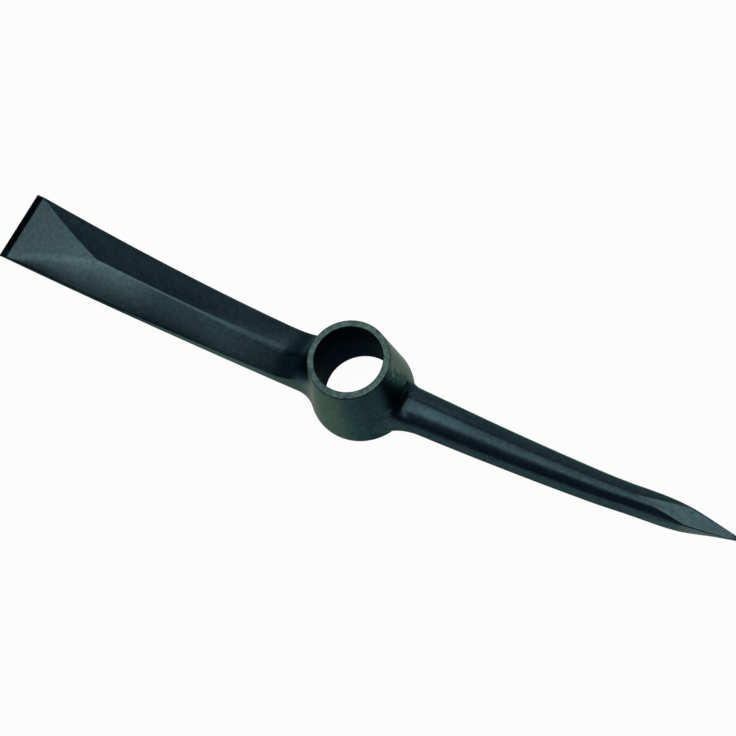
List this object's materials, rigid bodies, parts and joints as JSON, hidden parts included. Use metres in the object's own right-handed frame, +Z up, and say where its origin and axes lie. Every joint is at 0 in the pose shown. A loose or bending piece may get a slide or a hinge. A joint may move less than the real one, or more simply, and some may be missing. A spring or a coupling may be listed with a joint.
{
  "type": "pick axe head",
  "caption": "Pick axe head: a tapered round eye for a wooden handle, with a ridged chisel arm opposite a faceted pointed arm, both curved towards the collar, in dark blue-green paint.",
  "frame": {"origin": "centre of the eye's wide rim, on the plane that the head stands on", "axes": "+X along the arms, towards the point; +Z up the eye's axis, towards the collar; +Y across the arms"},
  "size_m": [0.5375, 0.071, 0.06],
  "materials": {
    "eye_paint": "satin dark blue-green paint over forged steel",
    "arm_paint": "satin dark blue-green paint over forged steel",
    "end_paint": "satin dark blue-green paint over hardened and ground steel"
  },
  "bodies": {
    "root": {"eye_socket": "eye_paint", "chisel_arm": "arm_paint", "chisel_bit": "end_paint", "point_arm": "arm_paint", "pick_point": "end_paint"}
  },
  "joints": []
}
